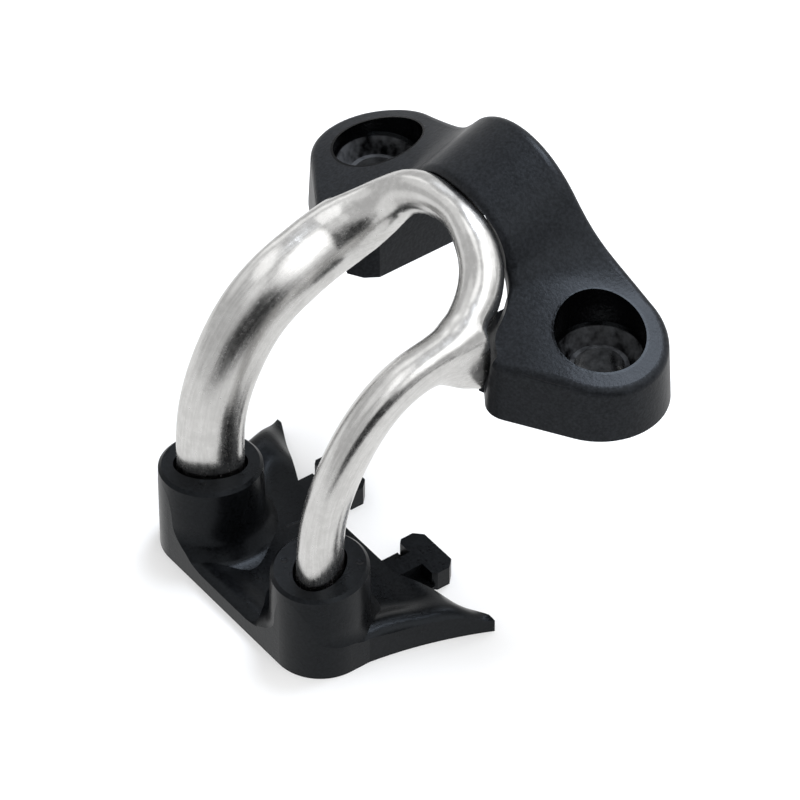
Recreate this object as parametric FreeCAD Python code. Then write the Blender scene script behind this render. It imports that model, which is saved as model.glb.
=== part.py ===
import FreeCAD, Part
import math
import os
from FreeCAD import Vector

# Rope fairlead eye for a cam cleat: a moulded bridge that is screwed on over the cleat, a stainless
# eye bent from one oval bar, and a moulded base on the deck that carries the two ends of the bar.
# Millimetres. The origin is on the seat plane under the bridge's feet, midway between the screws.
# +X runs across the screws, +Z up, and the base stands forward of the bridge, towards -Y.

# Bridge, feet
SCREW_SPACING = 38.0
SCREW_HOLE_R = 2.6
FOOT_R = 7.4
WALL_DRAFT = 0.05
NOSE_X = 14.9
NOSE_Y = -8.0
NOSE_R = 2.8
NOSE_FRONT_WAY = (-0.6, -0.8)
INNER_WALL_X = 8.9
SEAT_START_X = 6.5
SEAT_SWEEP = [(9.6, -3.6), (10.2, -5.0), (10.7, -7.8)]
SEAT_CORNER_EASE = (1.2, 1.6)

# Bridge, head pocket and collar round each screw hole
POCKET_R = 5.0
POCKET_WALL_END_Z = 5.7
CONE_FOOT_R = 3.3
CONE_FOOT_Z = 3.4
COLLAR_R = 3.1
COLLAR_TOP_Z = 3.9

# Bridge, arch
ARCH_BACK_Y = 6.4
ARCH_FRONT_Y = -3.6
ARCH_BACK_HALF_FLAT = 5.0
ARCH_BACK_EASE = (6.0, 5.0)
TUNNEL_SPRING_Z = 6.6
TUNNEL_FRONT_TOP_Z = 14.2
TUNNEL_BACK_TOP_Z = 16.6

# Bridge, block of each foot that reaches inward under the eye's shoulder, in line with the wall
# of the passage and a little below the upper skin
SEAT_BLOCK_CORNERS = [(INNER_WALL_X, ARCH_FRONT_Y), (INNER_WALL_X, -7.2), (9.8, -8.6),
                      (11.4, -9.6), (13.0, -9.0), (13.0, ARCH_FRONT_Y)]
SEAT_BLOCK_HEIGHT = 6.8
SEAT_BLOCK_BELOW_SKIN = 0.4

# Bridge, upper skin: (y, crest height, crest radius, radius of the hollow beside the crest,
# height over the screw, fall towards the outside)
SKIN_SECTIONS = [
    (-12.5, 14.0, 10.2, 3.4, 5.6, 0.03),
    (-3.6, 17.1, 9.9, 3.6, 8.0, 0.26),
    (9.0, 21.3, 10.6, 28.0, 8.6, 0.34),
]
SKIN_ROWS = 6
SKIN_REACH_X = 30.0
SKIN_DEPTH = 25.0
CREST_SHARES = (0.0, 0.2, 0.4, 0.6, 0.8)
FLANK_SHARES = (0.0, 0.33, 0.67, 1.0)
FOOT_SHARES = (0.12, 0.35, 0.6, 0.8, 1.0)
EDGE_ROUND = 1.0
BLOCK_HEIGHT = 24.0

# Eye, oval bar
BAR_HALF_LONG = 3.6
BAR_HALF_SHORT = 2.3
LEG_X = 9.75
LEG_Y = -28.7
LEG_TURN = 124.0
LEG_DEPTH_IN_SOCKET = 7.0

# Eye, right half of the bar's centre line above the straight end, one list entry for each section.
# Shares are of the leg's half sizes, of the lug's full reach, and of the way from the narrow
# clearance round the loop to the wide one round the shoulder.
EYE_PLACES = [
    (9.93, -28.2, -8.5), (10.1, -25.7, -2.0), (10.15, -21.6, 3.15), (10.2, -17.0, 5.65),
    (10.32, -15.07, 6.22), (10.35, -14.11, 6.5), (10.32, -13.17, 6.79), (10.19, -12.24, 7.14),
    (9.98, -11.35, 7.54), (9.78, -10.46, 7.94), (9.52, -9.61, 8.38), (9.21, -8.82, 8.88),
    (8.39, -7.36, 10.16), (7.16, -6.19, 11.81), (5.36, -5.45, 13.29), (2.8, -4.8, 14.05),
]
EYE_LONG_AXES = [
    (0.59, -0.78, 0.18), (0.61, -0.70, 0.36), (0.64, -0.46, 0.61), (0.66, -0.28, 0.70),
    (0.64, -0.22, 0.73), (0.63, -0.20, 0.75), (0.62, -0.19, 0.76), (0.61, -0.19, 0.77),
    (0.60, -0.21, 0.77), (0.60, -0.23, 0.76), (0.60, -0.25, 0.76), (0.60, -0.26, 0.76),
    (0.62, -0.28, 0.74), (0.60, -0.33, 0.72), (0.42, -0.42, 0.80), (0.16, -0.52, 0.84),
]
EYE_LONG_SHARES = [1.00, 1.02, 1.04, 1.04, 1.03, 1.03, 1.02, 1.01,
                   1.00, 0.98, 0.96, 0.92, 0.82, 0.71, 0.67, 0.68]
EYE_SHORT_SHARES = [1.00, 1.00, 1.00, 1.00, 0.99, 0.98, 0.97, 0.96,
                    0.96, 0.96, 0.98, 1.00, 1.02, 1.01, 0.96, 0.86]
EYE_LUG_SHARES = [0.0, 0.0, 0.0, 0.04, 0.18, 0.40, 0.65, 0.90,
                  1.0, 0.50, 0.06, 0.0, 0.0, 0.0, 0.0, 0.0]
EYE_SHOULDER_SHARES = [0.0, 0.0, 0.0, 0.5, 1.0, 1.0, 1.0, 1.0,
                       1.0, 1.0, 1.0, 1.0, 0.7, 0.2, 0.0, 0.0]
EYE_TOP_PLACE = (0.0, -4.4, 14.1)
EYE_TOP_LONG_AXIS = (0.0, -0.61, 0.79)
EYE_TOP_LONG_SHARE = 0.69
EYE_TOP_SHORT_SHARE = 0.82

# Eye, lugs that lean on the noses of the feet. The bar's section is drawn out by these steps,
# (outward, back, up), at its control points from the outer end of its long axis round to its
# underside.
LUG_REACH = [(0, 0, 0), (0.25, 1.0, 0.5), (1.25, 0.9, 0.0), (1.85, 0.6, -1.4), (2.55, 0.2, -3.9),
             (1.4, -0.2, -2.4)]

# Base
DECK_Z = -26.0
BOSS_HEIGHT = 10.85
BOSS_HALF_LONG = 5.55
BOSS_HALF_SHORT = 5.05
BOSS_TURN = 117.0
BOSS_DRAFT = 0.03
BOSS_FOOT_HEIGHT = 1.8
BOSS_FOOT_ROUND = 3.2
BOSS_STEPS = (0.0, 0.08, 0.25, 0.5, 0.75, 1.0, 1.3, 2.0)
RING_EDGE_CHAMFER = 0.35
BASE_FRONT_Y = -34.2
BASE_HALF_WIDTH = 15.3
BASE_CORNER_R = 5.3
BASE_WAIST_Y = -26.5
HORN_MID = (16.9, -19.6)
HORN_TIP = (19.4, -13.3)
HORN_END_WIDTH = 0.9
REAR_Y = -18.2
REAR_HALF_FLAT = 8.6
REAR_HOLLOW = (14.0, -15.6)
TAB_INNER_X = 4.4
TAB_WIDTH = 6.5
TAB_HEAD_FRONT_Y = -14.8
TAB_HEAD_DEPTH = 2.9
TAB_HEIGHT = 2.4
TAB_CHAMFER = 0.9
TAB_WEB_HEIGHT = 0.7
TAB_STEM_WIDTH = 2.2

# Base, upper face: (y, half width of the outline, height in the middle, height of the side ridge)
PLATE_SECTIONS = [
    (-35.4, 15.3, 0.6, 1.6),
    (-34.2, 15.3, 1.9, 3.0),
    (-33.0, 15.3, 2.5, 3.7),
    (-31.0, 15.3, 2.1, 3.9),
    (-28.5, 15.3, 1.9, 3.9),
    (-26.0, 15.35, 2.2, 3.9),
    (-23.0, 15.8, 2.5, 3.8),
    (-19.6, 16.9, 2.6, 3.5),
    (-16.2, 18.2, 2.5, 3.0),
    (-12.0, 20.1, 2.4, 2.4),
]
PLATE_DEPTH = 12.0
RIDGE_INSET = 1.5
RIDGE_ROUND_HEIGHT = 1.4
RIDGE_FALL_WIDTH = 3.4
RIDGE_STEPS = (-0.8, -0.15, 0.3, 0.8, 1.5, 2.3, 3.1, 4.0, 5.0)
PLATE_STEPS = (0.75, 0.5, 0.25)

# Oval tubes: control points round the section, and their reach beyond the section they give
TUBE_POLES = 12
TUBE_POLE_REACH = 3 / (2 + math.cos(2 * math.pi / TUBE_POLES))

# Clearances
SOCKET_CLEARANCE = 0.35
SEAT_CLEARANCE = 0.2
SHOULDER_CLEARANCE = 0.8


def mirrored(shape):
    """The same shape on the other side of the middle plane."""
    return shape.mirror(Vector(0, 0, 0), Vector(1, 0, 0))


def both_sides(shape):
    """A shape and its mirror image."""
    return [shape, mirrored(shape)]


def oval_wire(centre, normal, long_axis, half_long, half_short):
    """An ellipse set across a direction, with its long axis as near as it can be to the one given."""
    n = Vector(normal).normalize()
    u = long_axis - n * long_axis.dot(n)
    u.normalize()
    v = n.cross(u)
    ellipse = Part.Ellipse(centre + u * half_long, centre + v * half_short, centre)
    return Part.Wire([ellipse.toShape()])


def tube(stations, tangents):
    """A solid bar of oval section, smooth all round and along its length.

    Each station holds its centre, the direction of the long axis, the two half sizes and the steps
    by which its first control points are drawn out.
    """
    reach = [0.0]
    for station, next_station in zip(stations, stations[1:]):
        reach.append(reach[-1] + (next_station[0] - station[0]).Length)
    columns = []
    for k in range(TUBE_POLES):
        angle = 2 * math.pi * k / TUBE_POLES
        points = []
        for (centre, axis, half_long, half_short, steps), tangent in zip(stations, tangents):
            n = Vector(tangent).normalize()
            u = (axis - n * axis.dot(n)).normalize()
            across = u * half_long * math.cos(angle) + n.cross(u) * half_short * math.sin(angle)
            step = steps[k] if k < len(steps) else Vector(0, 0, 0)
            points.append(centre + across * TUBE_POLE_REACH + step)
        curve = Part.BSplineCurve()
        curve.interpolate(Points=points, Parameters=reach)
        columns.append(curve)
    poles = [list(row) for row in zip(*[c.getPoles() for c in columns])]
    surface = Part.BSplineSurface()
    surface.buildFromPolesMultsKnots(poles, columns[0].getMultiplicities(), [1] * (TUBE_POLES + 1),
                                     columns[0].getKnots(), list(range(TUBE_POLES + 1)),
                                     False, True, 3, 3)
    side = surface.toShape()
    ends = [e for e in side.Edges if e.isClosed()]
    caps = [Part.Face(Part.Wire([e])) for e in ends]
    solid = Part.Solid(Part.Shell([side] + caps))
    solid.fix(1e-5, 1e-5, 1e-4)
    return solid


def across_middle(v):
    """The mirror image of a point or a direction."""
    return Vector(-v.x, v.y, v.z)


def eye_stations(grow, shoulder_grow):
    """Every section of the bar, from one socket to the other, grown all round.

    The shoulders grow by their own amount, all else by the first.
    """
    socket_z = DECK_Z + BOSS_HEIGHT
    turn = math.radians(LEG_TURN)
    leg_axis = Vector(-math.cos(turn), -math.sin(turn), 0)
    right = []
    for z in (socket_z - LEG_DEPTH_IN_SOCKET, socket_z - LEG_DEPTH_IN_SOCKET / 2, socket_z):
        right.append((Vector(LEG_X, LEG_Y, z), leg_axis, 1.0, 1.0, 0.0, 0.0))
    columns = (EYE_PLACES, EYE_LONG_AXES, EYE_LONG_SHARES, EYE_SHORT_SHARES, EYE_LUG_SHARES,
               EYE_SHOULDER_SHARES)
    for place, axis, *shares in zip(*columns):
        right.append((Vector(*place), Vector(*axis), *shares))
    top = (Vector(*EYE_TOP_PLACE), Vector(*EYE_TOP_LONG_AXIS), EYE_TOP_LONG_SHARE,
           EYE_TOP_SHORT_SHARE, 0.0, 0.0)
    left = [(across_middle(s[0]), across_middle(s[1])) + s[2:] for s in reversed(right)]
    sized = []
    for centre, axis, long_share, short_share, lug_share, shoulder_share in right + [top] + left:
        more = grow + (shoulder_grow - grow) * shoulder_share
        steps = [Vector(*step) * lug_share for step in LUG_REACH]
        if centre.x < 0:
            steps = [across_middle(step) for step in steps]
        sized.append((centre, axis, BAR_HALF_LONG * long_share + more,
                      BAR_HALF_SHORT * short_share + more, steps))
    return sized


def station_tangents(points):
    """Directions of a smooth curve through the points, upright at both ends."""
    curve = Part.BSplineCurve()
    curve.interpolate(Points=points, InitialTangent=Vector(0, 0, 1), FinalTangent=Vector(0, 0, -1))
    return [curve.tangent(curve.parameter(p))[0] for p in points]


def eye(grow=0.0, shoulder_grow=0.0):
    """The whole steel eye: the oval bar with its lugs drawn out of its shoulders."""
    stations = eye_stations(grow, shoulder_grow)
    return tube(stations, station_tangents([s[0] for s in stations]))


def flank_centre(crest, crest_r, flank_r, line_point, slope):
    """Centre of the hollow arc that joins the arch's crest to the sloping top of a foot.

    The crest is a circle, the foot's top a line that falls by slope for each millimetre outward.
    """
    run = Vector(1, 0, -slope).normalize()
    base = line_point + Vector(slope, 0, 1).normalize() * flank_r
    to_crest = base - crest
    b = to_crest.dot(run)
    c = to_crest.dot(to_crest) - (crest_r + flank_r) ** 2
    return base + run * (-b + math.sqrt(b * b - c))


def skin_row(y, crest_z, crest_r, flank_r, foot_z, fall):
    """Points across the bridge's upper skin at one place along Y."""
    crest = Vector(0, y, crest_z - crest_r)
    centre = flank_centre(crest, crest_r, flank_r, Vector(SCREW_SPACING / 2, y, foot_z), fall)
    lean = math.atan2(centre.x, centre.z - crest.z)
    level = math.atan(fall)
    right = []
    for share in CREST_SHARES:
        angle = lean * share
        right.append(crest + Vector(math.sin(angle), 0, math.cos(angle)) * crest_r)
    for share in FLANK_SHARES:
        angle = lean + (level - lean) * share
        right.append(centre - Vector(math.sin(angle), 0, math.cos(angle)) * flank_r)
    inner = right[-1]
    outer = Vector(SKIN_REACH_X, y, foot_z - fall * (SKIN_REACH_X - SCREW_SPACING / 2))
    right += [inner + (outer - inner) * share for share in FOOT_SHARES]
    return [Vector(-p.x, p.y, p.z) for p in reversed(right[1:])] + right


def section_between(y):
    """The upper skin's numbers at any place along Y, by a parabola through the three sections."""
    ys = [s[0] for s in SKIN_SECTIONS]
    shares = []
    for own in ys:
        others = [o for o in ys if o != own]
        shares.append((y - others[0]) * (y - others[1]) / ((own - others[0]) * (own - others[1])))
    columns = list(zip(*SKIN_SECTIONS))[1:]
    return [y] + [sum(w * v for w, v in zip(shares, column)) for column in columns]


def under_skin():
    """Everything below the upper skin of the bridge."""
    first, last = SKIN_SECTIONS[0][0], SKIN_SECTIONS[-1][0]
    rows = []
    for i in range(SKIN_ROWS):
        rows.append(skin_row(*section_between(first + (last - first) * i / (SKIN_ROWS - 1))))
    surface = Part.BSplineSurface()
    surface.interpolate(rows)
    return surface.toShape().extrude(Vector(0, 0, -SKIN_DEPTH))


def circle_tangent_points(c0, r0, c1, r1, side):
    """Where the outer tangent of two circles touches each of them."""
    d = c1 - c0
    turn = math.atan2(d.y, d.x)
    spread = math.acos((r0 - r1) / d.Length)
    angle = turn + side * spread
    way = Vector(math.cos(angle), math.sin(angle), 0)
    return c0 + way * r0, c1 + way * r1


def bridge_outline(height):
    """Plan outline of the bridge at a height: two teardrop feet joined by the narrower arch."""
    inset = WALL_DRAFT * height
    hole = Vector(SCREW_SPACING / 2, 0, height)
    nose = Vector(NOSE_X, NOSE_Y, height)
    foot_r = FOOT_R - inset
    nose_r = NOSE_R - inset
    on_foot, on_nose = circle_tangent_points(hole, foot_r, nose, nose_r, 1)
    foot_far = hole + Vector(foot_r, 0, 0)
    foot_back = hole + Vector(0, foot_r, 0)
    front_way = Vector(*NOSE_FRONT_WAY, 0)
    nose_inner = nose + front_way * nose_r
    nose_front = nose + (front_way + (on_nose - nose) / nose_r).normalize() * nose_r
    seat_start = Vector(SEAT_START_X, ARCH_FRONT_Y, height)
    seat = Part.BezierCurve()
    seat.setPoles([seat_start] + [Vector(x, y, height) for x, y in SEAT_SWEEP])
    seat_end = seat.getPole(4)
    seat_way = (seat_end - seat.getPole(3)).normalize()
    nose_way = Vector(front_way.y, -front_way.x, 0)
    corner = Part.BezierCurve()
    corner.setPoles([seat_end, seat_end + seat_way * SEAT_CORNER_EASE[0],
                     nose_inner + nose_way * SEAT_CORNER_EASE[1], nose_inner])
    back_flat = Vector(ARCH_BACK_HALF_FLAT, ARCH_BACK_Y - inset, height)
    back = Part.BezierCurve()
    back.setPoles([foot_back, foot_back - Vector(ARCH_BACK_EASE[0], 0, 0),
                   back_flat + Vector(ARCH_BACK_EASE[1], 0, 0), back_flat])
    right = [
        Part.makeLine(Vector(0, ARCH_FRONT_Y, height), seat_start),
        seat.toShape(),
        corner.toShape(),
        Part.Arc(nose_inner, nose_front, on_nose).toShape(),
        Part.makeLine(on_nose, on_foot),
        Part.Arc(on_foot, foot_far, foot_back).toShape(),
        back.toShape(),
        Part.makeLine(back_flat, Vector(0, ARCH_BACK_Y - inset, height)),
    ]
    left = [mirrored(e) for e in right]
    return Part.Wire(Part.__sortEdges__(right + left))


def tunnel_section(y, top_z):
    """Outline of the passage under the arch at one place along Y."""
    half = INNER_WALL_X
    edges = [
        Part.makeLine(Vector(-half, y, -1), Vector(half, y, -1)),
        Part.makeLine(Vector(half, y, -1), Vector(half, y, TUNNEL_SPRING_Z)),
        Part.Arc(Vector(half, y, TUNNEL_SPRING_Z), Vector(0, y, top_z),
                 Vector(-half, y, TUNNEL_SPRING_Z)).toShape(),
        Part.makeLine(Vector(-half, y, TUNNEL_SPRING_Z), Vector(-half, y, -1)),
    ]
    return Part.Wire(edges)


def tunnel():
    """The passage that the rope takes from the cleat, rising a little to the back."""
    front = tunnel_section(ARCH_FRONT_Y - 1, TUNNEL_FRONT_TOP_Z)
    back = tunnel_section(ARCH_BACK_Y + 3, TUNNEL_BACK_TOP_Z)
    return Part.makeLoft([front, back], True, True)


def screw_pocket():
    """Head pocket, conical seat and through hole of one foot, as a turned cutter."""
    x = SCREW_SPACING / 2
    top = 25.0
    profile = [
        (0, -1), (SCREW_HOLE_R, -1), (SCREW_HOLE_R, COLLAR_TOP_Z), (COLLAR_R, COLLAR_TOP_Z),
        (CONE_FOOT_R, CONE_FOOT_Z), (POCKET_R - 0.3, POCKET_WALL_END_Z), (POCKET_R, top), (0, top),
    ]
    points = [Vector(x + r, 0, z) for r, z in profile]
    face = Part.Face(Part.makePolygon(points + [points[0]]))
    return face.revolve(Vector(x, 0, 0), Vector(0, 0, 1), 360)


def top_edges(body):
    """The edges all round where the bridge's upper skin meets its walls."""
    edges = []
    for edge in body.Edges:
        middle = edge.valueAt((edge.FirstParameter + edge.LastParameter) / 2)
        start, end = edge.firstVertex().Point, edge.lastVertex().Point
        upright = math.hypot(start.x - end.x, start.y - end.y) < abs(start.z - end.z) * 0.2
        if middle.z > 1.0 and not upright:
            edges.append(edge)
    return edges


def seat_block():
    """The block of the right foot that reaches inward under the eye's shoulder."""
    points = [Vector(x, y, 0) for x, y in SEAT_BLOCK_CORNERS]
    face = Part.Face(Part.makePolygon(points + [points[0]]))
    block = face.extrude(Vector(0, 0, SEAT_BLOCK_HEIGHT))
    return block.common(under_skin().translated(Vector(0, 0, -SEAT_BLOCK_BELOW_SKIN))).Solids[0]


def bridge():
    """The moulded bridge."""
    block = Part.makeLoft([bridge_outline(0), bridge_outline(BLOCK_HEIGHT)], True, True)
    body = block.common(under_skin()).Solids[0]
    body = body.makeFillet(EDGE_ROUND, top_edges(body))
    body = body.cut(tunnel())
    body = body.cut(both_sides(screw_pocket()))
    body = body.fuse(both_sides(seat_block()))
    body = body.cut(eye(SEAT_CLEARANCE, SHOULDER_CLEARANCE))
    return body.removeSplitter()


def base_outline():
    """Plan outline of the base at the deck."""
    half = BASE_HALF_WIDTH
    r = BASE_CORNER_R
    corner = Vector(half - r, BASE_FRONT_Y + r, 0)
    slant = math.sqrt(0.5) * r
    corner_mid = corner + Vector(slant, -slant, 0)
    front_end = Vector(half - r, BASE_FRONT_Y, 0)
    side_start = Vector(half, BASE_FRONT_Y + r, 0)
    waist = Vector(half, BASE_WAIST_Y, 0)
    tip = Vector(*HORN_TIP, 0)
    tip_in = tip + Vector(-HORN_END_WIDTH, -0.1, 0)
    rear_end = Vector(REAR_HALF_FLAT, REAR_Y, 0)
    side = Part.Arc(waist, Vector(*HORN_MID, 0), tip).toShape()
    hollow = Part.Arc(tip_in, Vector(*REAR_HOLLOW, 0), rear_end).toShape()
    right = [
        Part.makeLine(Vector(0, BASE_FRONT_Y, 0), front_end),
        Part.Arc(front_end, corner_mid, side_start).toShape(),
        Part.makeLine(side_start, waist),
        side,
        Part.makeLine(tip, tip_in),
        hollow,
        Part.makeLine(rear_end, Vector(0, REAR_Y, 0)),
    ]
    left = [mirrored(e) for e in right]
    wire = Part.Wire(Part.__sortEdges__(right + left))
    wire.translate(Vector(0, 0, DECK_Z))
    return wire


def ridge_height(inward, middle, ridge):
    """Height of the base's upper face at a distance inward from the side."""
    if inward < RIDGE_INSET:
        share = min((RIDGE_INSET - inward) / (RIDGE_INSET + 0.35), 0.98)
        return ridge - RIDGE_ROUND_HEIGHT * (1 - math.sqrt(1 - share * share)) + min(inward + 0.35, 0)
    share = min((inward - RIDGE_INSET) / RIDGE_FALL_WIDTH, 1.0)
    return ridge + (middle - ridge) * share * share * (3 - 2 * share)


def under_plate():
    """Everything below the base's upper face."""
    rows = []
    for y, half, middle, ridge in PLATE_SECTIONS:
        right = [(half - inward, ridge_height(inward, middle, ridge)) for inward in RIDGE_STEPS]
        flat_half = right[-1][0]
        right += [(flat_half * share, middle) for share in PLATE_STEPS]
        left = [(-x, z) for x, z in reversed(right)]
        rows.append([Vector(x, y, DECK_Z + z) for x, z in right + [(0.0, middle)] + left])
    surface = Part.BSplineSurface()
    surface.interpolate(rows)
    return surface.toShape().extrude(Vector(0, 0, -PLATE_DEPTH))


def boss():
    """The right boss: an oval tower whose wall sweeps out into the plate."""
    turn = math.radians(BOSS_TURN)
    axis = Vector(math.cos(turn), math.sin(turn), 0)
    stations = []
    for share in BOSS_STEPS:
        height = BOSS_FOOT_HEIGHT + BOSS_FOOT_ROUND * share
        up = min(share, 1.0)
        flare = BOSS_FOOT_ROUND * (1 - math.sqrt(1 - (1 - up) ** 2)) + BOSS_DRAFT * (BOSS_HEIGHT - height)
        stations.append((Vector(LEG_X, LEG_Y, DECK_Z + height), axis,
                         BOSS_HALF_LONG + flare, BOSS_HALF_SHORT + flare, []))
    stations.append((Vector(LEG_X, LEG_Y, DECK_Z + BOSS_HEIGHT), axis, BOSS_HALF_LONG,
                     BOSS_HALF_SHORT, []))
    tower = tube(stations, [Vector(0, 0, 1)] * len(stations))
    top = [e for e in tower.Edges if e.BoundBox.ZMin > DECK_Z + BOSS_HEIGHT - 0.05]
    return tower.makeChamfer(RING_EDGE_CHAMFER, top)


def socket():
    """The cutter of the right socket, open at the top."""
    turn = math.radians(LEG_TURN)
    axis = Vector(math.cos(turn), math.sin(turn), 0)
    floor = DECK_Z + BOSS_HEIGHT - LEG_DEPTH_IN_SOCKET - SOCKET_CLEARANCE
    wire = oval_wire(Vector(LEG_X, LEG_Y, floor), Vector(0, 0, 1), axis,
                     BAR_HALF_LONG + SOCKET_CLEARANCE, BAR_HALF_SHORT + SOCKET_CLEARANCE)
    return Part.Face(wire).extrude(Vector(0, 0, BOSS_HEIGHT))


def hook_tab():
    """The right hook tab behind the base: a thin web, a stem and a raised head."""
    x0 = TAB_INNER_X
    x1 = TAB_INNER_X + TAB_WIDTH
    y0 = TAB_HEAD_FRONT_Y
    y1 = TAB_HEAD_FRONT_Y + TAB_HEAD_DEPTH
    c = TAB_CHAMFER
    head_points = [
        (x0 + c / 2, y0), (x1 - c / 2, y0), (x1, y0 + c / 2), (x1, y1 - c), (x1 - c, y1),
        (x0 + c, y1), (x0, y1 - c), (x0, y0 + c / 2),
    ]
    points = [Vector(x, y, DECK_Z) for x, y in head_points]
    head = Part.Face(Part.makePolygon(points + [points[0]])).extrude(Vector(0, 0, TAB_HEIGHT))
    length = y0 - REAR_Y + 1.0
    web = Part.makeBox(TAB_WIDTH, length, TAB_WEB_HEIGHT, Vector(x0, REAR_Y - 1.0, DECK_Z))
    stem_x = (x0 + x1 - TAB_STEM_WIDTH) / 2
    stem = Part.makeBox(TAB_STEM_WIDTH, length, TAB_HEIGHT, Vector(stem_x, REAR_Y - 1.0, DECK_Z))
    return head.fuse([web, stem])


def base():
    """The moulded base."""
    block = Part.Face(base_outline()).extrude(Vector(0, 0, BOSS_HEIGHT + 1))
    body = under_plate().fuse(both_sides(boss()))
    body = body.common(block)
    body = body.cut(both_sides(socket()))
    body = body.fuse(both_sides(hook_tab()))
    return body.removeSplitter()


def write(name, shape):
    """Write one piece to its own file."""
    shape.exportStep(os.path.join("parts", name + ".step"))
    box = shape.BoundBox
    print(name, "valid", shape.isValid(), "solids", len(shape.Solids), "volume", round(shape.Volume, 1),
          "box", [round(v, 2) for v in (box.XMin, box.YMin, box.ZMin, box.XMax, box.YMax, box.ZMax)])


def main():
    """Build the three pieces."""
    os.makedirs("parts", exist_ok=True)
    write("bridge", bridge())
    write("steel_eye", eye())
    write("front_base", base())


main()
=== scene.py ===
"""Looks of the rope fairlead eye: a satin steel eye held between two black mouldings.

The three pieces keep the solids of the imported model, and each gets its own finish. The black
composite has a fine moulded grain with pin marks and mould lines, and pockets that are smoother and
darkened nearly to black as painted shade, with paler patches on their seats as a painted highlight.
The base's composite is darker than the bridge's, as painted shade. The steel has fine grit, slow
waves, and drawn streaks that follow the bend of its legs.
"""

import logging
import math
from dataclasses import dataclass, replace
from enum import Enum
from typing import Any, ClassVar, TypeAlias

import bmesh
import bpy
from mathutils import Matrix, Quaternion, Vector

Pair: TypeAlias = tuple[float, float]
Point: TypeAlias = tuple[float, float, float]
Colour: TypeAlias = tuple[float, float, float]
Number: TypeAlias = "Reading | float"
Value: TypeAlias = "Reading | bpy.types.NodeSocket | float | tuple[float, ...]"

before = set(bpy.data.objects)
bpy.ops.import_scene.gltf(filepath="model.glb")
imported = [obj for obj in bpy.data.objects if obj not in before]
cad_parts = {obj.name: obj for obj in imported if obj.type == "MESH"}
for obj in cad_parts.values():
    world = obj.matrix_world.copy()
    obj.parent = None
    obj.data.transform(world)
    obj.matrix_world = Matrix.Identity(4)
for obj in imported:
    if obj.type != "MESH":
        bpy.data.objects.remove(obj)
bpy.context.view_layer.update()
LOG = logging.getLogger("rope_fairlead_eye")

MM = 0.001
FAR_SIDE = 99.0  # In millimetres along X, beyond the object on either side.
NOISE_MIDDLE = 0.5  # A noise runs from 0 to 1.
UP = (0.0, 0.0, 1.0)
WHITE = (1.0, 1.0, 1.0, 1.0)
MIX_SHARE, MIX_FIRST, MIX_SECOND, MIX_RESULT = 0, 6, 7, 2  # The sockets of a Mix node on colours.


class Body(Enum):
    """The bodies that pieces ride on."""

    ROOT = "root"


class Slot(Enum):
    """The record's material slots."""

    COMPOSITE = "black_composite"
    STEEL = "stainless"


@dataclass(frozen=True)
class Noise:
    """A soft noise from 0 to 1.

    Args:
        per_metre: How many swells it has in a metre.
        detail: How many finer layers it has.
        rough: How strong the finer layers are.
    """

    per_metre: float
    detail: float = 2.0
    rough: float = 0.5


class Reading:
    """A number that varies over a surface: the output socket of a shader node, with sums on it.

    Args:
        graph: The graph that holds the node.
        socket: The output socket.
    """

    def __init__(self, graph: "Graph", socket: bpy.types.NodeSocket) -> None:
        """Keeps the socket and its graph."""
        self.graph = graph
        self.socket = socket

    def _with(self, operation: str, *values: Number) -> "Reading":
        """A Math node on these values."""
        node = self.graph.node("ShaderNodeMath", {"operation": operation}, dict(enumerate(values)))
        return Reading(self.graph, node.outputs[0])

    def __add__(self, other: Number) -> "Reading":
        """self + other."""
        return self._with("ADD", self, other)

    def __radd__(self, other: Number) -> "Reading":
        """other + self."""
        return self._with("ADD", other, self)

    def __sub__(self, other: Number) -> "Reading":
        """self - other."""
        return self._with("SUBTRACT", self, other)

    def __rsub__(self, other: Number) -> "Reading":
        """other - self."""
        return self._with("SUBTRACT", other, self)

    def __mul__(self, other: Number) -> "Reading":
        """self * other."""
        return self._with("MULTIPLY", self, other)

    def __rmul__(self, other: Number) -> "Reading":
        """other * self."""
        return self._with("MULTIPLY", other, self)

    def least(self, other: Number) -> "Reading":
        """The smaller of self and other."""
        return self._with("MINIMUM", self, other)

    def most(self, other: Number) -> "Reading":
        """The larger of self and other."""
        return self._with("MAXIMUM", self, other)

    def swing(self, reach: float) -> "Reading":
        """How far a noise is from its middle, times reach."""
        return (self - NOISE_MIDDLE) * reach

    def step(self, start: float, end: float) -> "Reading":
        """A smooth step, which falls with the reading where start is the larger.

        Args:
            start: The reading at which the step is 0.
            end: The reading at which it is 1.

        Returns:
            The step.
        """
        limits = {"From Min": min(start, end), "From Max": max(start, end)}
        ends = {"To Min": float(start > end), "To Max": float(end > start)}
        node = self.graph.node(
            "ShaderNodeMapRange", {"interpolation_type": "SMOOTHSTEP"}, {"Value": self, **limits, **ends}
        )
        return Reading(self.graph, node.outputs[0])


def weigh(shares: tuple[float, ...], *readings: Reading) -> Reading:
    """The sum of readings that are each worth their own share.

    Args:
        shares: What each reading is worth.
        readings: The readings, in the order of their shares.

    Returns:
        The sum.
    """
    total, *others = (reading * share for reading, share in zip(readings, shares, strict=True))
    for other in others:
        total = total + other
    return total


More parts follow.
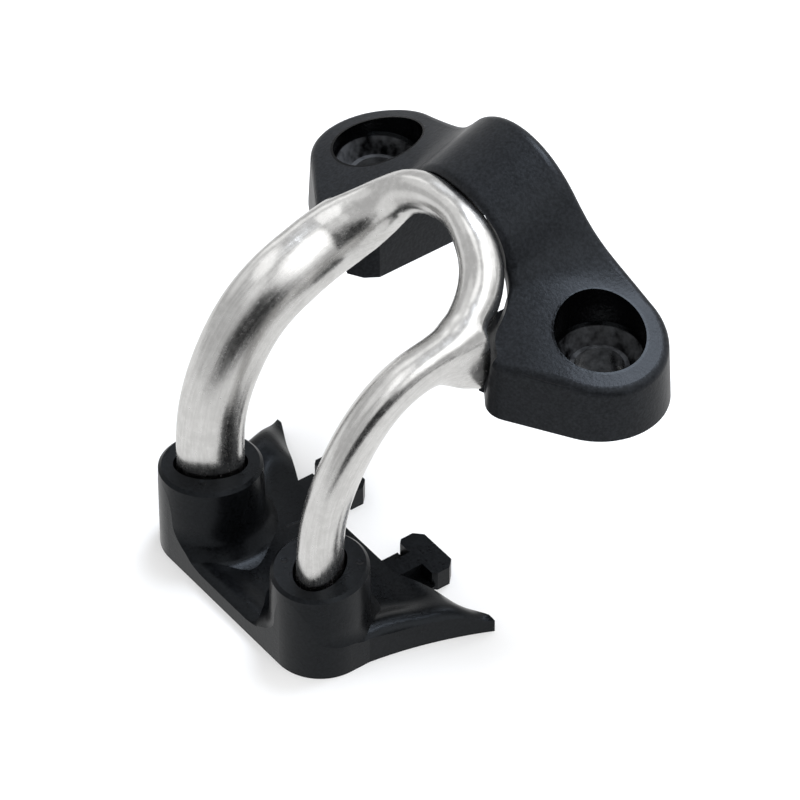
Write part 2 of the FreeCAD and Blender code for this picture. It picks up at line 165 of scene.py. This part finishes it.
class Graph:
    """The node tree of one material, with one method that makes any node."""

    def __init__(self, name: str) -> None:
        """Makes an empty material with its output and its shader.

        Args:
            name: The material's name.
        """
        self.material = bpy.data.materials.new(name)
        self.material.use_nodes = True
        self.tree = self.material.node_tree
        self.tree.nodes.clear()
        self.shader = self.node("ShaderNodeBsdfPrincipled")
        self.node("ShaderNodeOutputMaterial", None, {"Surface": self.shader.outputs[0]})
        self.place = self.node("ShaderNodeTexCoord").outputs["Object"]

    def node(
        self, kind: str, settings: dict[str, Any] | None = None, values: dict[str | int, Value] | None = None
    ) -> bpy.types.Node:
        """Makes a node.

        Args:
            kind: The node's type.
            settings: Its settings, set first.
            values: For each input, by name or number, a plain value, a socket or a Reading.

        Returns:
            The node.
        """
        made = self.tree.nodes.new(kind)
        for name, value in (settings or {}).items():
            setattr(made, name, value)
        for name, value in (values or {}).items():
            self.feed(made.inputs[name], value)
        return made

    def feed(self, socket: bpy.types.NodeSocket, value: Value) -> None:
        """Sets an input socket to a plain value, or links it.

        Args:
            socket: The input socket.
            value: The plain value, or the socket or Reading to link.
        """
        if isinstance(value, Reading):
            value = value.socket
        if isinstance(value, bpy.types.NodeSocket):
            self.tree.links.new(value, socket)
        else:
            socket.default_value = value

    def surface(self, **values: Value) -> bpy.types.Material:
        """Feeds inputs of the shader.

        Args:
            values: What each input gets, with _ for a space in its name.

        Returns:
            The material.
        """
        for name, value in values.items():
            self.feed(self.shader.inputs[name.replace("_", " ")], value)
        return self.material

    def noise(self, kind: Noise, where: "bpy.types.NodeSocket | None" = None) -> Reading:
        """A noise over the surface.

        Args:
            kind: What the noise is like.
            where: The coordinates, or None for the object's own.

        Returns:
            The noise.
        """
        values = {"Vector": where or self.place, "Scale": kind.per_metre, "Detail": kind.detail,
                  "Roughness": kind.rough}
        return Reading(self, self.node("ShaderNodeTexNoise", {"noise_dimensions": "3D"}, values).outputs[0])

    def round_bend(self, axis: Pair, drift: float) -> bpy.types.NodeSocket:
        """Coordinates in which a pattern runs as streaks round an axis along X.

        Args:
            axis: Where the axis is, along Y and Z in millimetres.
            drift: How fast the streaks change along their length.

        Returns:
            The coordinates.
        """
        y, z = axis
        parts = self.node("ShaderNodeSeparateXYZ", None, {0: self.place}).outputs
        reach = self.distance_to_line(((-FAR_SIDE, y, z), (FAR_SIDE, y, z)))
        drifted = Reading(self, parts[2]) * drift
        return self.node("ShaderNodeCombineXYZ", None, {0: parts[0], 1: reach, 2: drifted}).outputs[0]

    def height(self) -> Reading:
        """The surface's height above the origin in metres."""
        return Reading(self, self.node("ShaderNodeSeparateXYZ", None, {0: self.place}).outputs[2])

    def _vector(self, operation: str, *values: Value, output: str = "Vector") -> bpy.types.NodeSocket:
        """A Vector Math node on these values."""
        node = self.node("ShaderNodeVectorMath", {"operation": operation}, dict(enumerate(values)))
        return node.outputs[output]

    def distance(self, point: Point) -> Reading:
        """How far the surface is from a point, in metres."""
        return Reading(self, self._vector("DISTANCE", self.place, point, output="Value"))

    def distance_to_run(self, start: Point, end: Point) -> Reading:
        """How far the surface is from a straight run between two points, in metres.

        Args:
            start: One end of the run in metres.
            end: The other end.

        Returns:
            The distance.
        """
        along = Vector(end) - Vector(start)
        from_start = self._vector("SUBTRACT", self.place, start)
        share = Reading(self, self._vector("DOT_PRODUCT", from_start, tuple(along), output="Value"))
        share = (share * (1.0 / along.length_squared)).most(0.0).least(1.0)
        scaled = {0: tuple(along), "Scale": share}
        nearest = self.node("ShaderNodeVectorMath", {"operation": "SCALE"}, scaled).outputs[0]
        return Reading(self, self._vector("DISTANCE", from_start, nearest, output="Value"))

    def distance_to_line(self, points: tuple[Point, ...]) -> Reading:
        """How far the surface is from a line through points, in metres.

        Args:
            points: The points in millimetres.

        Returns:
            The distance.
        """
        places = [tuple(value * MM for value in point) for point in points]
        nearest = self.distance_to_run(places[0], places[1])
        for start, end in zip(places[1:], places[2:]):
            nearest = nearest.least(self.distance_to_run(start, end))
        return nearest

    def blend(self, share: Number, first: Value, second: Value) -> bpy.types.NodeSocket:
        """A colour between two.

        Args:
            share: The share of the second colour, from 0 to 1.
            first: A colour, or the socket that gives it.
            second: The other one.

        Returns:
            The socket that gives the blend.
        """
        first, second = (colour if isinstance(colour, bpy.types.NodeSocket) else (*colour, 1.0)
                         for colour in (first, second))
        values = {MIX_SHARE: share, MIX_FIRST: first, MIX_SECOND: second}
        return self.node("ShaderNodeMix", {"data_type": "RGBA"}, values).outputs[MIX_RESULT]

    def relief(self, height: Reading, depth: float) -> bpy.types.NodeSocket:
        """The normal that a height from 0 to 1, worth depth metres, gives the surface."""
        bump = self.node("ShaderNodeBump", None, {"Height": height, "Distance": depth, "Strength": 1.0})
        return bump.outputs[0]


def mirrored(point: Point) -> Point:
    """The same point on the other half of the object."""
    x, y, z = point
    return -x, y, z


@dataclass(frozen=True)
class Dent:
    """A small round mark that a pin of the mould leaves.

    Args:
        place: Its middle in millimetres.
        radius: Its radius in millimetres.
        depth: Its depth in millimetres.
        floor: The share of the radius that its flat floor has.
    """

    place: Point
    radius: float = 0.42
    depth: float = 0.12
    floor: float = 0.45


@dataclass(frozen=True)
class Seam:
    """A fine line that two halves of the mould leave.

    Args:
        points: Points along it in millimetres.
        half_width: Half its width in millimetres.
        depth: Its depth in millimetres.
    """

    points: tuple[Point, ...]
    half_width: float = 0.14
    depth: float = 0.09

    def mirrored(self) -> "Seam":
        """The same seam on the other half of the object."""
        return replace(self, points=tuple(mirrored(point) for point in self.points))


@dataclass(frozen=True)
class Polish:
    """A round stretch of space in which the moulding is smoother and has a colour painted in.

    Args:
        start: One end of its middle line in millimetres.
        end: The other end.
        radius: Its radius in millimetres.
        colour: The colour painted there, as painted shade in a pocket and as a painted highlight on a seat.
        in_patches: Whether only patches of it have that colour.
        edge: How wide its soft edge is in millimetres.
    """

    start: Point
    end: Point
    radius: float
    colour: Colour
    in_patches: bool = False
    edge: float = 0.15

    def mirrored(self) -> "Polish":
        """The same stretch on the other half of the object."""
        return replace(self, start=mirrored(self.start), end=mirrored(self.end))


@dataclass(frozen=True)
class MouldedComposite:
    """Black glass-filled composite as it leaves the mould: fine grain, soft sheen, small marks.

    Args:
        name: The material's name.
        dark: The darkest of its grain.
        light: The palest of its grain.
        sheen_rough: How rough it is in the middle.
        polished_rough: How rough it is where it is polished.
        flow_swing: How much the flow changes the roughness.
        grain_swing: How much the grain changes it.
        grain: The fine grain of the mould.
        flow: The slow flow of the filling.
        coarser: How many times coarser the second grain is.
        grain_depth: How deep the grain is in millimetres.
        relief_shares: What grain and coarser grain add to the relief.
        shade_shares: What flow, coarser grain and grain add to the shade.
        shade_step: The sums at which the shade is at its darkest and palest.
        patch_shares: What flow and coarser grain add to the patches of painted highlight.
        patch_step: The sums at which a patch starts and is whole.
        index: Its index of refraction.
        gloss: How strongly it mirrors.
        gloss_tint: The colour of what it mirrors.
        dents: Its pin marks.
        seams: Its mould lines.
        polishes: Where it is smoother, with painted shade or a painted highlight in its colour.
    """

    name: str = "bridge_composite"
    dark: Colour = (0.0052, 0.0056, 0.0064)
    light: Colour = (0.0142, 0.0153, 0.0176)
    sheen_rough: float = 0.35
    polished_rough: float = 0.20
    flow_swing: float = 0.10
    grain_swing: float = 0.14
    grain: Noise = Noise(3000.0, 3.0, 0.6)
    flow: Noise = Noise(260.0, 3.0, 0.55)
    coarser: float = 3.7
    grain_depth: float = 0.045
    relief_shares: Pair = (0.7, 0.55)
    shade_shares: tuple[float, float, float] = (0.14, 0.12, 0.74)
    shade_step: Pair = (0.32, 0.70)
    patch_shares: Pair = (0.5, 0.5)
    patch_step: Pair = (0.36, 0.62)
    index: float = 1.5
    gloss: float = 0.135
    gloss_tint: Colour = (0.83, 0.91, 1.0)
    dents: tuple[Dent, ...] = ()
    seams: tuple[Seam, ...] = ()
    polishes: tuple[Polish, ...] = ()

    def material(self) -> bpy.types.Material:
        """Builds the finish.

        Returns:
            The material.
        """
        graph = Graph(self.name)
        grain = graph.noise(self.grain)
        coarse = graph.noise(Noise(self.grain.per_metre / self.coarser))
        flow = graph.noise(self.flow)
        shade = weigh(self.shade_shares, flow, coarse, grain).step(*self.shade_step)
        colour = graph.blend(shade, self.dark, self.light)
        rough = self.sheen_rough + flow.swing(self.flow_swing) + grain.swing(self.grain_swing)
        patches = weigh(self.patch_shares, flow, coarse).step(*self.patch_step)
        for polish in self.polishes:
            inside = graph.distance_to_line((polish.start, polish.end))
            inside = inside.step(polish.radius * MM, (polish.radius - polish.edge) * MM)
            rough = rough + inside * (self.polished_rough - self.sheen_rough)
            # Each polish blends its painted shade or painted highlight into the colour here.
            colour = graph.blend(inside * patches if polish.in_patches else inside, colour, polish.colour)
        height = self._marked(graph, weigh(self.relief_shares, grain, coarse))
        return graph.surface(
            Base_Color=colour, Roughness=rough, Normal=graph.relief(height, self.grain_depth * MM),
            Specular_IOR_Level=self.gloss, Specular_Tint=(*self.gloss_tint, 1.0),
            Metallic=0.0, IOR=self.index,
        )

    def _marked(self, graph: Graph, height: Reading) -> Reading:
        """Sinks the pin marks and the mould lines into the relief.

        Args:
            graph: The graph of the material.
            height: The height of the grain.

        Returns:
            The height with the marks.
        """
        for dent in self.dents:
            middle = tuple(value * MM for value in dent.place)
            hollow = graph.distance(middle).step(dent.radius * MM, dent.radius * dent.floor * MM)
            height = height - hollow * (dent.depth / self.grain_depth)
        for seam in self.seams:
            groove = graph.distance_to_line(seam.points).step(seam.half_width * MM, 0.0)
            height = height - groove * (seam.depth / self.grain_depth)
        return height


@dataclass(frozen=True)
class DeckCompositeWithPaintedShade(MouldedComposite):
    """The composite of the base: colours darker than the bridge's as painted shade, glossier, with a flatter
    grain.
    """

    name: str = "base_composite_painted_shade"
    # The darker colours are painted shade on the same composite as the bridge's.
    dark: Colour = (0.0010, 0.0011, 0.0013)
    light: Colour = (0.0048, 0.0053, 0.0062)
    sheen_rough: float = 0.30
    grain_depth: float = 0.018
    gloss: float = 0.16


@dataclass(frozen=True)
class SatinSteel:
    """Bent stainless bar, tumbled and polished: bright, with fine grit, soft waves and drawn streaks.

    Args:
        bend_axis: Where the axis of the bend is, along Y and Z in millimetres.
        streak_fade: The heights in millimetres at which the streaks are gone and whole.
        name: The material's name.
        dull: The darkest of its waves.
        bright: The palest of its waves.
        rough: How rough it is in the middle.
        grit_swing: How much the grit changes the roughness.
        mottle_swing: How much the coarser grit changes it.
        streak_swing: How much the streaks change it.
        grit: The fine grit.
        wave: The slow waves.
        streak: The drawn streaks.
        streak_drift: How fast the streaks change along their length.
        coarser: How many times coarser the second grit is.
        grit_depth: How deep the grit is in millimetres.
        relief_shares: What grit, coarser grit, waves and streaks add to the relief.
        shade_shares: What waves, coarser grit and streaks add to the shade.
        shade_step: The sums at which the shade is at its darkest and palest.
        index: Its index of refraction.
    """

    bend_axis: Pair
    streak_fade: Pair
    name: str = "eye_steel"
    dull: Colour = (0.560, 0.555, 0.545)
    bright: Colour = (0.675, 0.671, 0.661)
    rough: float = 0.24
    grit_swing: float = 0.14
    mottle_swing: float = 0.12
    streak_swing: float = 0.12
    grit: Noise = Noise(3300.0, 3.0, 0.65)
    wave: Noise = Noise(430.0)
    streak: Noise = Noise(3400.0, 2.0, 0.6)
    streak_drift: float = 0.05
    coarser: float = 2.6
    grit_depth: float = 0.0034
    relief_shares: tuple[float, float, float, float] = (0.55, 0.25, 4.0, 0.8)
    shade_shares: tuple[float, float, float] = (0.5, 0.5, 0.7)
    shade_step: Pair = (0.25, 0.75)
    index: float = 2.4

    def material(self) -> bpy.types.Material:
        """Builds the finish.

        Returns:
            The material.
        """
        graph = Graph(self.name)
        grit = graph.noise(self.grit)
        mottle = graph.noise(Noise(self.grit.per_metre / self.coarser))
        wave = graph.noise(self.wave)
        streak = graph.noise(self.streak, graph.round_bend(self.bend_axis, self.streak_drift)) - NOISE_MIDDLE
        gone, whole = self.streak_fade
        streak = streak * graph.height().step(gone * MM, whole * MM)
        shade = weigh(self.shade_shares, wave, mottle, streak).step(*self.shade_step)
        rough = self.rough + grit.swing(self.grit_swing) + mottle.swing(self.mottle_swing)
        rough = rough + streak * self.streak_swing
        height = weigh(self.relief_shares, grit, mottle, wave, streak)
        return graph.surface(
            Base_Color=graph.blend(shade, self.dull, self.bright), Roughness=rough,
            Normal=graph.relief(height, self.grit_depth * MM), Metallic=1.0, IOR=self.index,
        )


@dataclass(frozen=True)
class PlainGlow:
    """An even grey that also glows, as the floor and the cards of the studio do.

    Args:
        name: The material's name.
        shade: How pale its grey is.
        glow: How bright it glows.
        rough: How rough it is.
        gloss: How strongly it mirrors.
    """

    name: str
    shade: float
    glow: float
    rough: float = 1.0
    gloss: float = 0.0

    def material(self) -> bpy.types.Material:
        """Builds the finish.

        Returns:
            The material.
        """
        return Graph(self.name).surface(
            Base_Color=(self.shade, self.shade, self.shade, 1.0), Emission_Color=WHITE,
            Emission_Strength=self.glow, Roughness=self.rough, Specular_IOR_Level=self.gloss, Metallic=0.0,
        )


@dataclass
class Piece:
    """A CAD node that keeps its shape and gets its finish."""

    node: ClassVar[str]
    slot: ClassVar[Slot]
    body: ClassVar[Body] = Body.ROOT

    def finish(self) -> bpy.types.Material:
        """The material of the piece."""
        raise NotImplementedError

    def dress(self) -> bpy.types.Object:
        """Gives the node its finish.

        Returns:
            The node's object.
        """
        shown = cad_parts[self.node]
        shown.data.materials.clear()
        shown.data.materials.append(self.finish())
        return shown


@dataclass
class MouldedBridge(Piece):
    """The bridge over the rope, with a screw hole and its pocket in each foot.

    Args:
        pocket: The space of the right foot's pocket, smoother and darkened nearly to black as painted shade.
        seat: The smoother seat round the hole at its bottom, with paler patches as a painted highlight.
        rim_seam: The mould line on the right foot's rim.
    """

    node: ClassVar[str] = "bridge"
    slot: ClassVar[Slot] = Slot.COMPOSITE
    # Near black: painted shade down the pocket.
    pocket: Polish = Polish((19.0, 0.0, -1.0), (19.0, 0.0, 9.5), 5.06, (0.0005, 0.0005, 0.0006))
    # Paler patches: a painted highlight on the seat's cone.
    seat: Polish = Polish((19.0, 0.0, -1.0), (19.0, 0.0, 3.6), 4.85, (0.062, 0.064, 0.068), in_patches=True)
    rim_seam: Seam = Seam((
        (16.92, -9.42, 6.55), (18.49, -8.58, 6.45), (19.89, -7.75, 6.38),
        (21.25, -6.88, 6.35), (22.70, -5.80, 6.40),
    ))

    def finish(self) -> bpy.types.Material:
        """Black composite with painted shade in the pockets, a painted highlight in patches on their seats,
        and a mould line on each foot.

        Returns:
            The material.
        """
        seams = (self.rim_seam, self.rim_seam.mirrored())
        polishes = (self.pocket, self.seat, self.pocket.mirrored(), self.seat.mirrored())
        return MouldedComposite(seams=seams, polishes=polishes).material()


@dataclass
class SteelEye(Piece):
    """The bent and forged bar that the rope runs through.

    Args:
        bend_axis: Where the axis of the legs' bend is, along Y and Z in millimetres.
        streak_fade: The heights in millimetres at which the drawn streaks are gone and whole.
    """

    node: ClassVar[str] = "steel_eye"
    slot: ClassVar[Slot] = Slot.STEEL
    bend_axis: Pair = (-9.9, -11.2)
    streak_fade: Pair = (12.5, 8.5)

    def finish(self) -> bpy.types.Material:
        """Satin steel with streaks along the legs."""
        return SatinSteel(self.bend_axis, self.streak_fade).material()


@dataclass
class FrontBase(Piece):
    """The moulding on the deck that takes the two legs of the eye.

    Args:
        ring_marks: The pin marks on the rings of the two towers.
        plate_step: The short step on the plate between the towers.
    """

    node: ClassVar[str] = "front_base"
    slot: ClassVar[Slot] = Slot.COMPOSITE
    ring_marks: tuple[Dent, ...] = (
        Dent((-7.62, -31.17, -15.15)), Dent((6.86, -31.18, -15.15)),
        Dent((11.77, -25.08, -15.15)), Dent((-11.77, -25.08, -15.15)),
    )
    plate_step: Seam = Seam(
        ((-4.24, -22.80, -23.50), (-4.10, -21.33, -23.50)), half_width=0.20, depth=0.14
    )

    def finish(self) -> bpy.types.Material:
        """Composite darkened with painted shade, with the marks of the mould's pins on the towers."""
        return DeckCompositeWithPaintedShade(dents=self.ring_marks, seams=(self.plate_step,)).material()


@dataclass(frozen=True)
class SoftLight:
    """A large soft oval light of the studio.

    Args:
        name: Its name.
        towards: Azimuth and elevation of the side that it stands on, in degrees.
        distance: How far it is from the object in metres.
        size: Its width and height in metres.
        glow: How bright its face is, where the pale floor is about 1.
        tint: Its colour.
    """

    name: str
    towards: Pair
    distance: float
    size: Pair
    glow: float
    tint: Colour = (1.0, 1.0, 1.0)

    def watts(self) -> float:
        """The power that gives its oval face its brightness."""
        return self.glow * math.pi * self.size[0] * self.size[1] * math.pi / 4.0


@dataclass(frozen=True)
class MirrorCard:
    """A card that shows in mirrored light alone: black for dark streaks on the steel, or pale.

    Args:
        name: Its name.
        towards: Azimuth and elevation of its middle, in degrees.
        distance: How far it is from the object in metres.
        size: Its width and height in metres.
        roll: How far it is turned in its own plane, in degrees.
        lying: Whether it lies flat instead of facing the object.
        glow: How bright its face is, or 0 for a black card.
        shade: How pale its own grey is.
    """

    name: str
    towards: Pair
    distance: float
    size: Pair
    roll: float = 0.0
    lying: bool = False
    glow: float = 0.0
    shade: float = 0.01


def direction(azimuth: float, elevation: float) -> Vector:
    """The unit vector from the object to a viewer at these angles in degrees."""
    a, e = math.radians(azimuth), math.radians(elevation)
    return Vector((math.sin(a) * math.cos(e), -math.cos(a) * math.cos(e), math.sin(e)))


@dataclass
class Studio:
    """The plain pale floor, the soft lights, the cards and the camera.

    Args:
        deck: The floor's height in metres.
        floor_size: The floor's width in metres.
        floor_finish: The floor's finish.
        sky_glow: How bright the light from all round is.
        camera_place: Where the camera stands, in metres.
        camera_back: The direction from what it looks at to the camera.
        lens: The camera's focal length in millimetres.
        sensor: The width of its frame in millimetres.
        clip: The nearest and farthest that it sees, in metres.
        lights: The soft lights.
        cards: The cards that show in mirrored light alone.
    """

    deck: float = -26.0 * MM
    floor_size: float = 6.0
    floor_finish: PlainGlow = PlainGlow("pale_floor", shade=0.60, glow=0.34, rough=0.9, gloss=0.5)
    sky_glow: float = 0.64
    camera_place: Point = (0.35684, -0.27663, 0.39423)
    camera_back: Point = (0.59461, -0.44231, 0.67143)
    lens: float = 258.47
    sensor: float = 36.0
    clip: Pair = (0.01, 20.0)
    lights: tuple[SoftLight, ...] = (
        SoftLight("key_light", (100.0, 50.0), 1.0, (0.88, 0.96), 0.75),
        SoftLight("key_core", (104.0, 52.0), 0.98, (0.58, 0.64), 0.95),
        SoftLight("back_light", (155.0, 38.0), 1.1, (1.0, 0.9), 0.8),
        SoftLight("top_light", (192.0, 62.0), 1.0, (0.50, 0.66), 12.5, (0.91, 0.97, 1.07)),
        SoftLight("rear_light", (214.0, 50.0), 1.02, (0.5, 0.7), 1.2, (0.94, 0.98, 1.04)),
        SoftLight("ceiling_light", (-15.0, 68.0), 1.0, (0.9, 0.36), 1.0),
        SoftLight("left_light", (-64.0, 40.0), 1.0, (1.1, 0.6), 0.30),
        SoftLight("near_light", (38.0, 44.0), 1.0, (0.36, 0.40), 0.40),
        SoftLight("strip_light", (-88.0, 34.0), 1.0, (0.22, 0.7), 0.55),
    )
    cards: tuple[MirrorCard, ...] = (
        MirrorCard("camera_flag", (62.0, 4.0), 0.6, (0.56, 0.56), roll=45.0),
        MirrorCard("floor_flag", (66.0, -3.6), 0.40, (0.42, 0.50), lying=True),
        MirrorCard("floor_card", (0.0, -90.0), 25.8 * MM, (1.8, 1.8), lying=True, glow=0.98),
    )

    def build(self) -> None:
        """Makes floor, sky, lights, cards and camera."""
        self.floor()
        self.sky()
        for light in self.lights:
            self.soft_light(light)
        for card in self.cards:
            self.mirror_card(card)
        self.camera()

    def sheet(self, name: str, size: Pair, finish: PlainGlow) -> bpy.types.Object:
        """A flat sheet round the origin that belongs to the studio.

        Args:
            name: Its name.
            size: Its size along X and Y in metres.
            finish: Its finish.

        Returns:
            Its object.
        """
        build = bmesh.new()
        bmesh.ops.create_grid(build, x_segments=1, y_segments=1, size=0.5)
        bmesh.ops.scale(build, vec=(*size, 1.0), verts=build.verts)
        mesh = bpy.data.meshes.new(name)
        build.to_mesh(mesh)
        build.free()
        mesh.materials.append(finish.material())
        shown = bpy.data.objects.new(name, mesh)
        bpy.context.scene.collection.objects.link(shown)
        return shown

    def floor(self) -> None:
        """A pale floor at the height of the deck."""
        shown = self.sheet("floor", (self.floor_size, self.floor_size), self.floor_finish)
        shown.location.z = self.deck

    def sky(self) -> None:
        """Even pale light from all round."""
        world = bpy.data.worlds.new("studio")
        world.use_nodes = True
        background = world.node_tree.nodes["Background"]
        background.inputs["Color"].default_value = WHITE
        background.inputs["Strength"].default_value = self.sky_glow
        bpy.context.scene.world = world
        bpy.context.scene.view_settings.view_transform = "Standard"

    def stand(self, shown: bpy.types.Object, towards: Pair, distance: float, roll: float = 0.0) -> None:
        """Stands a light or a card at its place, with its face to the object.

        Args:
            shown: The light or the card.
            towards: Azimuth and elevation of its place, in degrees.
            distance: How far it is from the object in metres.
            roll: How far it is turned in its own plane, in degrees.
        """
        back = direction(*towards)
        facing = (-back).to_track_quat("-Z", "Y")
        shown.location = back * distance
        shown.rotation_mode = "QUATERNION"
        shown.rotation_quaternion = facing @ Quaternion(UP, math.radians(roll))

    def soft_light(self, light: SoftLight) -> None:
        """Places one soft light that faces the object.

        Args:
            light: The light.
        """
        data = bpy.data.lights.new(light.name, "AREA")
        data.shape = "ELLIPSE"
        data.size, data.size_y = light.size
        data.energy = light.watts()
        data.color = light.tint
        shown = bpy.data.objects.new(light.name, data)
        bpy.context.scene.collection.objects.link(shown)
        self.stand(shown, light.towards, light.distance)

    def mirror_card(self, card: MirrorCard) -> None:
        """Places one card, which the camera doesn't see and which casts no shadow.

        Args:
            card: The card.
        """
        shown = self.sheet(card.name, card.size, PlainGlow(card.name, card.shade, card.glow))
        self.stand(shown, card.towards, card.distance, card.roll)
        if card.lying:
            shown.rotation_quaternion = Quaternion(UP, math.radians(card.towards[0]))
        shown.visible_camera = shown.visible_diffuse = shown.visible_shadow = False

    def camera(self) -> None:
        """The camera at the photograph's angle."""
        data = bpy.data.cameras.new("camera")
        data.lens = self.lens
        data.sensor_width = self.sensor
        data.clip_start, data.clip_end = self.clip
        shown = bpy.data.objects.new("camera", data)
        shown.location = self.camera_place
        shown.rotation_mode = "QUATERNION"
        shown.rotation_quaternion = (-Vector(self.camera_back)).to_track_quat("-Z", "Y")
        bpy.context.scene.collection.objects.link(shown)
        bpy.context.scene.camera = shown


def main() -> None:
    """Dresses each piece, then builds the studio."""
    logging.basicConfig(level=logging.INFO, format="%(name)s %(message)s")
    for piece in (FrontBase(), SteelEye(), MouldedBridge()):
        faces = len(piece.dress().data.polygons)
        LOG.info("%s: %s, %d faces on body %s", piece.node, piece.slot.value, faces, piece.body.value)
    Studio().build()


if __name__ == "__main__":
    main()
